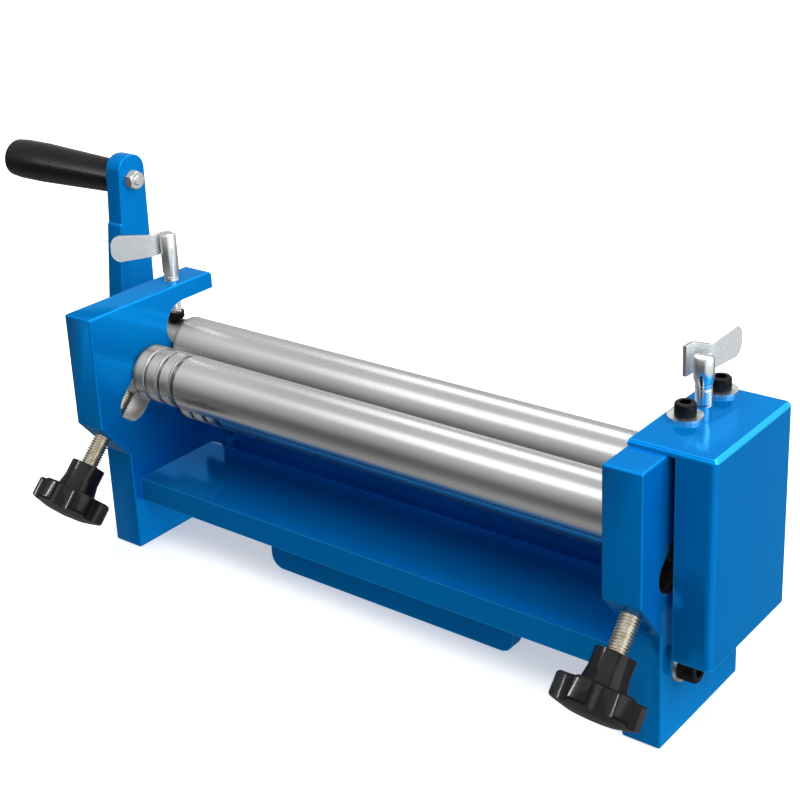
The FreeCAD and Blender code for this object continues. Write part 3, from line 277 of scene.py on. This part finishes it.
def ground_steel(name, depth, height):
    """Ground bar steel of a roller whose axis lies at a depth and height, darker in its grooves,
    with oil and painted shade darkening its ends.
    """
    groove_floor, barrel = 0.0140, 0.0153
    barrel_end, barrel_edge = 0.1575, 0.1580
    shade_start, shade_end = 0.1555, 0.1588
    dull, bright = (0.60, 0.595, 0.59, 1), (0.68, 0.675, 0.67, 1)
    scratch, groove_dark = (0.45, 0.445, 0.44, 1), (0.09, 0.085, 0.08, 1)
    end_oil_and_shade = (0.05, 0.045, 0.04, 1)
    scratch_share, groove_dark_share, end_shade_share = 0.06, 0.85, 0.75
    ground = Finish(name, Metallic=0.9)
    along, back, up = ground.place.axes()
    streak = ground.place.scaled(900.0, 30.0, 30.0).noise(1.0, 1.0)
    cloud = ground.place.scaled(8.0, 26.0, 26.0).noise(1.0, 1.0)
    reach = ((back - depth).power(2.0) + (up - height).power(2.0)).power(0.5)
    from_middle = along.maths("ABSOLUTE", along)
    # The grooves are coloured darker, towards near black.
    sunk = ((1 - reach.above(groove_floor, barrel))
            * (1 - from_middle.above(barrel_end, barrel_edge)))
    # Painted shade, with some oil: the steel darkens towards each end, where the frames and bushes
    # shade it.
    end = from_middle.above(shade_start, shade_end)
    steel = cloud.above(0.3, 0.7).blend(dull, bright)
    steel = (streak * scratch_share).blend(steel, scratch)
    steel = (sunk * groove_dark_share).blend(steel, groove_dark)
    steel = (end * end_shade_share).blend(steel, end_oil_and_shade)
    ground.vary("Base Color", steel)
    ground.vary("Roughness", 0.22 + 0.03 * streak + 0.06 * cloud)
    ground.bump(streak, 0.0000010)
    return ground


pinch_depth, drive_height, upper_height = 0.0225, 0.0785, 0.1100
bending_depth, bending_height = -0.0094945, 0.1034906
for name, body, depth, height in (("drive_roller", "drive", pinch_depth, drive_height),
                                  ("upper_roller", "upper", pinch_depth, upper_height),
                                  ("bending_roller", "bending", bending_depth, bending_height)):
    roller = from_cad(name, body, ground_steel(name + "_steel", depth, height))
    # The enamel beside the bending roller doesn't mirror its grooves.
    roller.visible_glossy = name != "bending_roller"

# Bearings: turned steel bushes, a pair pressed in the frames and a pair loose in the open notches,
# all wet with oil and coloured a darker steel as painted shade from the frames, and the milled
# blocks that slide in the slots: the crank end's is clean, the gear end's is black with old grease.
oil_and_shade = mottled("oiled_and_shaded_steel", 1.0, scale=60.0, detail=3.0, dark=(0.34, 0.33, 0.31, 1),
                pale=(0.50, 0.49, 0.47, 1), roughness=(0.28, 0.48))
oil_and_shade.bump(oil_and_shade.place.noise(1200.0), 0.00001)
for side, block_finish in (("crank", milled), ("gear", grease_and_shade)):
    # The bushes' darker oiled steel also stands in as painted shade from the frames.
    from_cad("drive_bush_" + side, "base", oil_and_shade)
    from_cad("upper_bush_" + side, "upper_bearings", oil_and_shade)
    from_cad("bearing_block_" + side, "bending_blocks", block_finish)

# Gears and keys: a pair of equal spur gears milled from steel and lightly oiled, each held on its
# roller by a key of square bar; the third key is the crank's.
for body, parts in (("drive", ("drive_gear", "drive_gear_key", "crank_key")),
                    ("upper", ("upper_gear", "upper_gear_key"))):
    for part in parts:
        from_cad(part, body, oil_and_shade)

# Screws and washers: socket cap screws of steel in black oxide, turned with a fluted head, on
# plain zinc-plated washers; they hold the frames, table, cover, gears and crank.
oxide = mottled("black_oxide", 0.6, scale=700.0, detail=3.0, dark=(0.012, 0.012, 0.013, 1),
                pale=(0.05, 0.05, 0.052, 1), roughness=(0.34, 0.50), relief=0.00001,
                spread=(0.4, 0.9))
zinc = mottled("zinc_plate", 1.0, scale=500.0, detail=2.0, dark=(0.66, 0.66, 0.65, 1),
               pale=(0.84, 0.84, 0.83, 1), roughness=(0.28, 0.42), relief=0.00001)


def turned(profile, steps):
    """A shell turned round Z from a profile of radii and heights."""
    shell = bmesh.new()
    points = [shell.verts.new((radius, 0, height)) for radius, height in profile]
    outline = [shell.edges.new(pair) for pair in zip(points, points[1:])]
    bmesh.ops.spin(shell, geom=points + outline, cent=(0, 0, 0), axis=(0, 0, 1), angle=2 * pi,
                   steps=steps, use_merge=True)
    bmesh.ops.remove_doubles(shell, verts=shell.verts, dist=weld)
    return shell


def pointed(shell, ahead, place):
    """Turns a shell that stands on Z to point ahead, then moves it to its place."""
    turn = Vector((0, 0, 1)).rotation_difference(ahead).to_matrix()
    bmesh.ops.rotate(shell, verts=shell.verts, matrix=turn)
    bmesh.ops.translate(shell, verts=shell.verts, vec=place)
    return shell


def corners(node):
    """The low and the high corner of a node's box."""
    return [Vector(corner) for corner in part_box(node)]


def grown_ring(shell, edges):
    """Extrudes a ring of edges in place and gives the new points and the new open edges."""
    grown = bmesh.ops.extrude_edge_only(shell, edges=edges)["geom"]
    points = [item for item in grown if isinstance(item, bmesh.types.BMVert)]
    return points, [item for item in grown if isinstance(item, bmesh.types.BMEdge)
                    and item.is_boundary]


def cap_screw(length, shank_radius, head_radius, head_height, flats, socket_depth):
    """Cap screw along Z, head up, with its top at zero: turned, fluted, with a hex socket."""
    tip, under_head, socket_mouth = 0.0007, 0.0003, 0.72
    crown = ((0.0, 0.0010), (0.0002, 0.0005), (0.0007, 0.0))
    steps, flute_share, skin = 72, 0.965, 0.00001
    profile = [(0.0, -length), (shank_radius - tip, -length), (shank_radius, tip - length),
               (shank_radius, -head_height), (head_radius - under_head, -head_height),
               (head_radius, under_head - head_height)]
    profile += [(head_radius - inwards, -down) for inwards, down in crown]
    profile += [(socket_mouth * head_radius, 0.0)]
    shell = turned(profile, steps)
    for point in shell.verts:
        spoke = Vector((point.co.x, point.co.y))
        step = round(Vector((1, 0)).angle_signed(spoke, 0.0) * steps / (2 * pi))
        if step % 2 and spoke.length > head_radius - skin:
            point.co.x *= flute_share
            point.co.y *= flute_share
    mouth = [edge for edge in shell.edges if edge.is_boundary]
    made = bmesh.ops.create_circle(shell, segments=6, radius=flats / 3 ** 0.5)["verts"]
    hexagon = list({edge for point in made for edge in point.link_edges})
    bmesh.ops.bridge_loops(shell, edges=mouth + hexagon)
    foot, foot_edges = grown_ring(shell, hexagon)
    bmesh.ops.translate(shell, verts=foot, vec=(0, 0, -socket_depth))
    bmesh.ops.contextual_create(shell, geom=foot_edges)
    return shell


def set_screw(node, body, ahead, finish, size):
    """Puts a cap screw in its node's place, with its head on the side that ahead points to."""
    low, high = corners(node)
    ahead = Vector(ahead)
    length = abs((high - low).dot(ahead))
    shell = pointed(cap_screw(length, **size), ahead, (low + high) / 2 + ahead * length / 2)
    finished(shell, node, body, finish)


m6 = dict(shank_radius=0.003, head_radius=0.005, head_height=0.006, flats=0.005,
          socket_depth=0.0030)
m6_low = dict(shank_radius=0.003, head_radius=0.005, head_height=0.003, flats=0.004,
              socket_depth=0.0018)
m8 = dict(shank_radius=0.004, head_radius=0.0065, head_height=0.008, flats=0.006,
          socket_depth=0.0040)
for side, way in (("crank", -1), ("gear", 1)):
    for end in ("front", "rear"):
        set_screw("tie_bolt_" + side + "_" + end, "base", (way, 0, 0), oxide, m8)
        from_cad("tie_washer_" + side + "_" + end, "base", zinc)
    set_screw("table_screw_" + side, "base", (0, 1, 0), oxide, m6)
for end in ("front", "rear"):
    set_screw("cover_screw_" + end, "base", (0, 0, 1), oxide, m6)
    from_cad("cover_washer_" + end, "base", zinc)
for body in ("drive", "upper"):
    set_screw(body + "_gear_screw", body, (1, 0, 0), oxide, m6_low)
    from_cad(body + "_gear_washer", body, zinc)
set_screw("crank_screw", "drive", (-1, 0, 0), oxide, m6)
from_cad("crank_washer", "drive", zinc)

# Adjusters: long M10 screws of yellow zinc-plated steel that run up through the frames' chins to
# the sliding blocks, each with a six-lobed knob of moulded black plastic.
plastic = Finish("black_plastic", IOR=1.45, Specular_IOR_Level=0.15, Coat_Roughness=0.06)
black, grey_black = (0.004, 0.004, 0.005, 1), (0.011, 0.010, 0.012, 1)
skin = plastic.place.noise(800.0)
plastic.vary("Base Color", plastic.place.noise(30.0).blend(black, grey_black))
plastic.vary("Roughness", 0.22 + 0.10 * skin)
plastic.vary("Coat Weight", 0.16 + 0.12 * plastic.place.noise(40.0))
plastic.bump(skin, 0.000006)
yellow_zinc = mottled("screw_zinc", 1.0, scale=260.0, detail=2.0, dark=(0.52, 0.48, 0.38, 1),
                      pale=(0.66, 0.64, 0.58, 1), roughness=(0.26, 0.40))


def threaded_rod(start, end, radius, pitch):
    """Rod from start to end with a thread of true helix, cut square at both ends."""
    thread_depth, steps, spare_turns = 0.61, 32, 2
    root = radius - thread_depth * pitch
    ridge_shares = ((0.0, root), (0.14, root), (0.50, radius), (0.64, radius))
    shell = bmesh.new()
    length = (end - start).length
    points = []
    for turn in range(-spare_turns, int(length / pitch) + spare_turns + 1):
        for share, reach in ridge_shares:
            points.append(shell.verts.new((reach, 0, (turn + share) * pitch)))
    ridge = [shell.edges.new(pair) for pair in zip(points, points[1:])]
    bmesh.ops.spin(shell, geom=points + ridge, cent=(0, 0, 0), axis=(0, 0, 1), angle=2 * pi,
                   steps=steps, dvec=(0, 0, pitch / steps), use_merge=False)
    bmesh.ops.remove_doubles(shell, verts=shell.verts, dist=weld)
    for height, way in ((0.0, -1), (length, 1)):
        everything = shell.verts[:] + shell.edges[:] + shell.faces[:]
        cut = bmesh.ops.bisect_plane(shell, geom=everything, plane_co=(0, 0, height),
                                     plane_no=(0, 0, way), clear_outer=True, dist=0.0000001)
        rim = [item for item in cut["geom_cut"] if isinstance(item, bmesh.types.BMEdge)]
        bmesh.ops.contextual_create(shell, geom=rim)
    return pointed(shell, end - start, start)


slant = Vector((0, 0.5 ** 0.5, 0.5 ** 0.5))
screw_foot, screw_top = 0.0867, 0.0103
for side, middle in frame_places:
    bearing = Vector((middle, bending_depth, bending_height))
    rod = threaded_rod(bearing - screw_foot * slant, bearing - screw_top * slant,
                       radius=0.005, pitch=0.0015)
    finished(rod, "adjusting_screw_" + side, "adjuster_" + side, yellow_zinc)
    from_cad("star_knob_" + side, "adjuster_" + side, plastic)

# Clamps: a chromed M8 screw with a turned hub and a stamped paddle of satin plated sheet that
# curls round the hub, and the black pad under it that holds the upper bush down.
chrome = Finish("chrome_plate", Metallic=1.0)
haze = chrome.place.noise(60.0)
chrome.vary("Base Color", haze.blend((0.84, 0.86, 0.86, 1), (0.94, 0.95, 0.95, 1)))
chrome.vary("Roughness", 0.13 + 0.10 * haze)
chrome.bump(chrome.place.noise(900.0), 0.00004)
satin = mottled("satin_plate", 0.55, scale=1800.0, detail=2.0, dark=(0.60, 0.63, 0.63, 1),
                pale=(0.80, 0.83, 0.83, 1), roughness=(0.36, 0.50), relief=0.00004)


def paddle_stations(wrap, ear):
    """Places along a paddle, each with its distance from the hub's middle plane and half height."""
    ear_start, ear_end, curl_length, curl_off, neck_height = -0.0028, 0.0020, 0.0070, 0.0016, 0.0118
    blade_start, blade_off, root_height, widening = 0.0095, 0.0015, 0.0115, 0.0045
    reach, corner, half_tip = 0.0327, 0.0066, 0.0080
    stations = [(ear_start, wrap, ear / 2), (ear_end, wrap, ear / 2)]
    for step in range(1, 8):
        share = step / 8
        ease = share * share * (3 - 2 * share)
        stations.append((ear_end + curl_length * share, wrap + (curl_off - wrap) * ease,
                         (ear + (neck_height - ear) * ease) / 2))
    for step in range(5):
        along = blade_start + (reach - corner - blade_start) * step / 4
        stations.append((along, blade_off, (root_height + widening * along / reach) / 2))
    for step in range(1, 9):
        swing = pi / 2 * step / 8
        stations.append((reach - corner + corner * sin(swing), blade_off,
                         half_tip - corner + corner * cos(swing)))
    return stations


def clamp_lever(side, foot, top, hub_radius, blade_middle, rise, ear, angle, hand):
    """Turned hub with a stamped paddle that curls round it: all heights from the floor."""
    neck = ((0.0012, 0.0), (0.0009, 0.0003), (0.0009, 0.0020), (0.0, 0.0050))
    crown = ((0.0, 0.0014), (0.0004, 0.0007), (0.0013, 0.0003))
    paddle_gap, sheet_thickness = 0.0030, 0.0020
    profile = [(0.0, foot)]
    profile += [(hub_radius - inwards, foot + up) for inwards, up in neck]
    profile += [(hub_radius - inwards, top - down) for inwards, down in crown]
    profile += [(0.0, top)]
    shell = turned(profile, steps=48)
    stations = paddle_stations(hub_radius + paddle_gap, ear)
    along, off, half = stations[0]
    first = [shell.verts.new((along, hand * off, blade_middle + way * half)) for way in (-1, 1)]
    edge = shell.edges.new(first)
    sheet = []
    for along, off, half in stations[1:]:
        grown = bmesh.ops.extrude_edge_only(shell, edges=[edge])["geom"]
        ends = [item for item in grown if isinstance(item, bmesh.types.BMVert)]
        ends.sort(key=lambda point: point.co.z)
        edge = [item for item in grown if isinstance(item, bmesh.types.BMEdge)
                and item.verts[0] in ends and item.verts[1] in ends][0]
        sheet += [item for item in grown if isinstance(item, bmesh.types.BMFace)]
        lift = rise * max(along, 0.0)
        for point, way in zip(ends, (-1, 1)):
            point.co = Vector((along, hand * off, blade_middle + lift + way * half))
    shell.normal_update()
    walls = bmesh.ops.solidify(shell, geom=sheet, thickness=sheet_thickness)["geom"]
    for item in sheet + walls:
        if isinstance(item, bmesh.types.BMFace):
            item.material_index = 1
    low, high = corners("clamp_screw_" + side)
    axis = (low + high) / 2
    bmesh.ops.rotate(shell, verts=shell.verts, matrix=Matrix.Rotation(radians(angle), 3, "Z"))
    bmesh.ops.translate(shell, verts=shell.verts, vec=(axis.x, axis.y, 0))
    piece = finished(shell, "clamp_handle_" + side, "clamp_lever_" + side, chrome)
    piece.data.materials.append(satin.material)
    rounding = piece.modifiers.new("rounding", "BEVEL")
    rounding.width = 0.0004
    rounding.segments = 2
    rounding.limit_method = "ANGLE"
    rounding.angle_limit = radians(50)


clamp_lever("crank", foot=0.1475, top=0.1750, hub_radius=0.0047, blade_middle=0.1682, rise=0.0,
            ear=0.0118, angle=-131.3, hand=-1)
clamp_lever("gear", foot=0.1575, top=0.1737, hub_radius=0.0048, blade_middle=0.1690, rise=0.06,
            ear=0.0150, angle=83, hand=1)
for side in ("crank", "gear"):
    low, high = corners("clamp_screw_" + side)
    axis = (low + high) / 2
    rod = threaded_rod(Vector((axis.x, axis.y, low.z)), Vector((axis.x, axis.y, high.z)),
                       radius=0.0040, pitch=0.00125)
    finished(rod, "clamp_screw_" + side, "clamp_lever_" + side, chrome)
    from_cad("clamp_pad_" + side, "clamp_pad_" + side, oxide)

# Crank: a flat blue arm keyed to the drive roller, with a turning grip of black plastic on a
# long zinc-plated bolt that a nut holds on the inner side of the arm.
arm = from_cad("crank_arm", "drive", enamel)
# The rollers don't mirror the arm either.
arm.visible_glossy = False
from_cad("grip", "grip", plastic)
set_screw("grip_bolt", "drive", (-1, 0, 0), zinc, m6)


def hex_reach(turn, flats):
    """Distance from the middle of a hexagon to its outline, at an angle."""
    return flats / 2 / cos((turn + pi / 6) % (pi / 3) - pi / 6)


nut_bore, nut_land, nut_flats, chamfer_slope = 0.0030, 0.0048, 0.010, 0.577
low, high = corners("grip_nut")
half = (high.x - low.x) / 2
shell = bmesh.new()
ring = bmesh.ops.create_circle(shell, segments=48, radius=nut_bore)["verts"]
edges = list({edge for point in ring for edge in point.link_edges})
bmesh.ops.translate(shell, verts=ring, vec=(0, 0, -half))
for reach, way in ((nut_land, -1), (None, -1), (None, 1), (nut_land, 1), (nut_bore, 1)):
    ring, edges = grown_ring(shell, edges)
    for point in ring:
        turn = Vector((1, 0)).angle_signed(Vector((point.co.x, point.co.y)), 0.0)
        far = reach or hex_reach(turn, nut_flats)
        drop = 0.0 if reach else (far - nut_land) * chamfer_slope
        point.co = Vector((far * cos(turn), -far * sin(turn), way * (half - drop)))
bmesh.ops.bridge_loops(shell, edges=[edge for edge in shell.edges if edge.is_boundary])
bmesh.ops.rotate(shell, verts=shell.verts, matrix=Matrix.Rotation(pi / 2, 3, "Y"))
bmesh.ops.rotate(shell, verts=shell.verts, matrix=Matrix.Rotation(pi / 6, 3, "X"))
bmesh.ops.translate(shell, verts=shell.verts, vec=(low + high) / 2)
finished(shell, "grip_nut", "drive", zinc)

# Floor, lights and camera: a pale matt floor; soft boxes in front, behind, above and on the
# right, two narrow strips for the black plastic alone, and a sky that is bright above and to the
# right and dim on the side that the operator stands on.
floor_finish = Finish("pale_floor", Base_Color=(0.9, 0.9, 0.9, 1), Roughness=0.9,
                      Specular_IOR_Level=0.0, Emission_Color=(1, 1, 1, 1), Emission_Strength=0.35)
slab = bmesh.new()
bmesh.ops.create_grid(slab, x_segments=1, y_segments=1, size=6.0)
floor_mesh = bpy.data.meshes.new("floor")
slab.to_mesh(floor_mesh)
slab.free()
floor = bpy.data.objects.new("floor", floor_mesh)
bpy.context.scene.collection.objects.link(floor)
floor.data.materials.append(floor_finish.material)
floor.visible_glossy = False
floor.visible_diffuse = False

sky = bpy.data.worlds.new("studio")
bpy.context.scene.world = sky
sky.use_nodes = True
background = sky.node_tree.nodes["Background"]
heading = Wire(sky.node_tree, sky.node_tree.nodes.new("ShaderNodeTexCoord").outputs["Generated"])
across, behind, up = heading.axes()


def sky_band(*stops):
    """Brightness of one side of the sky, from straight down (0) to straight up (1)."""
    grey = [(place, (value, value, value, 1)) for place, value in stops]
    return heading.node("ValToRGB", {"stops": grey}, {"Fac": 0.5 + 0.5 * up})


operator_side = sky_band((0.0, 0.22), (0.12, 0.40), (0.26, 0.18), (0.35, 0.11), (0.44, 0.13),
                         (0.56, 0.34), (0.72, 0.57), (1.0, 0.62))
wall_side = sky_band((0.0, 0.16), (0.20, 0.16), (0.30, 0.24), (0.40, 0.26), (0.52, 0.52),
                     (0.66, 0.42), (0.85, 0.48), (1.0, 0.60))
right_side = sky_band((0.0, 0.20), (0.26, 0.60), (0.55, 0.85), (1.0, 0.60))
wall_turn, right_turn = (-0.35, 0.55), (0.35, 0.85)
shade = behind.above(*wall_turn).blend(operator_side, wall_side)
shade = across.above(*right_turn).blend(shade, right_side)
sky.node_tree.links.new(shade.socket, background.inputs["Color"])
bpy.context.scene.view_settings.view_transform = "Standard"
bpy.context.scene.view_settings.look = "Medium High Contrast"

machine_middle = Vector((0, 0, 0.1))


def soft_panel(name, place, width, height, power):
    """A soft box that points at the middle of the machine."""
    light = bpy.data.lights.new(name, "AREA")
    light.shape = "RECTANGLE"
    light.size = width
    light.size_y = height
    light.energy = power
    lamp = bpy.data.objects.new(name, light)
    bpy.context.scene.collection.objects.link(lamp)
    lamp.location = place
    lamp.rotation_euler = (machine_middle - Vector(place)).to_track_quat("-Z", "Y").to_euler()
    return lamp


soft_panel("front_box", (0.1, -0.70, 1.42), width=2.6, height=0.75, power=7.5)
soft_panel("rear_box", (0.1, 0.84, 1.34), width=2.6, height=0.8, power=8)
soft_panel("right_box", (1.6, 0.1, 0.7), width=1.2, height=1.2, power=9)
top_box = soft_panel("top_box", (0.2, 0.3, 1.9), width=2.6, height=2.6, power=12)
top_box.visible_glossy = False

shiny = bpy.data.collections.new("shiny")
for name in ("star_knob_crank_piece", "star_knob_gear_piece", "grip_piece"):
    shiny.objects.link(bpy.data.objects[name])
for name, place in (("left_strip", (-0.95, -0.85, 0.75)), ("near_strip", (0.75, -1.25, 0.55))):
    strip = soft_panel(name, place, width=0.06, height=0.8, power=9.0)
    strip.light_linking.receiver_collection = shiny

view_width, focal_length, view_shift = 800, 1587.68, -100
camera_data = bpy.data.cameras.new("camera")
camera_data.sensor_width = 36.0
camera_data.lens = focal_length / view_width * camera_data.sensor_width
camera_data.shift_y = view_shift / view_width
camera_data.clip_start = 0.01
camera = bpy.data.objects.new("camera", camera_data)
bpy.context.scene.collection.objects.link(camera)
right = Vector((0.790568, 0.610902, -0.042437))
down = Vector((0.180276, -0.298402, -0.93726))
ahead = Vector((-0.585238, 0.733318, -0.346038))
eye = Vector((0.47274, -0.572716, 0.44735))
turn = Matrix((right, -down, -ahead)).transposed().to_4x4()
camera.matrix_world = Matrix.Translation(eye) @ turn
bpy.context.scene.camera = camera
